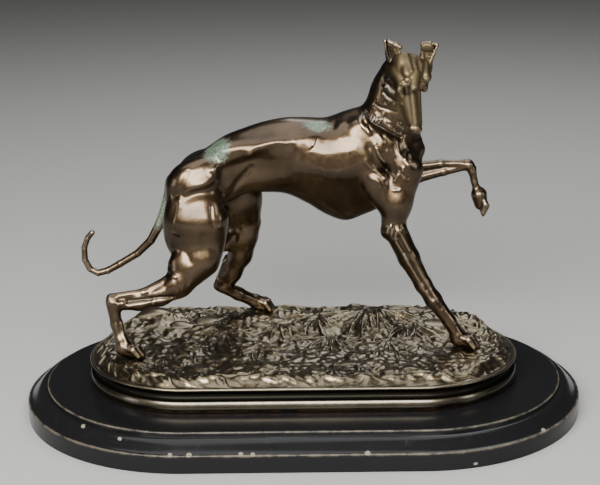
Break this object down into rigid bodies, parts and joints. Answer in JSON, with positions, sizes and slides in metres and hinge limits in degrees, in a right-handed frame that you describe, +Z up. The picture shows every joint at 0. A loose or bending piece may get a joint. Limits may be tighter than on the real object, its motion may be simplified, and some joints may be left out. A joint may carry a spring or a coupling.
{
  "type": "bronze whippet sculpture",
  "caption": "Bronze whippet with one forepaw raised and head turned, on a rough-ground bronze base with moulded edge, on a black moulded plinth.",
  "frame": {"origin": "middle of the plinth's underside", "axes": "+X along the plinth, the way the whippet walks; +Y from the whippet's right side to its left; +Z up"},
  "size_m": [0.3884, 0.2324, 0.2595],
  "materials": {
    "bronze": "brown patina, rubbed on the high places",
    "black_stone": "polished, worn on the moulding"
  },
  "bodies": {
    "root": {"bronze_whippet": "bronze", "black_plinth": "black_stone"}
  },
  "joints": []
}
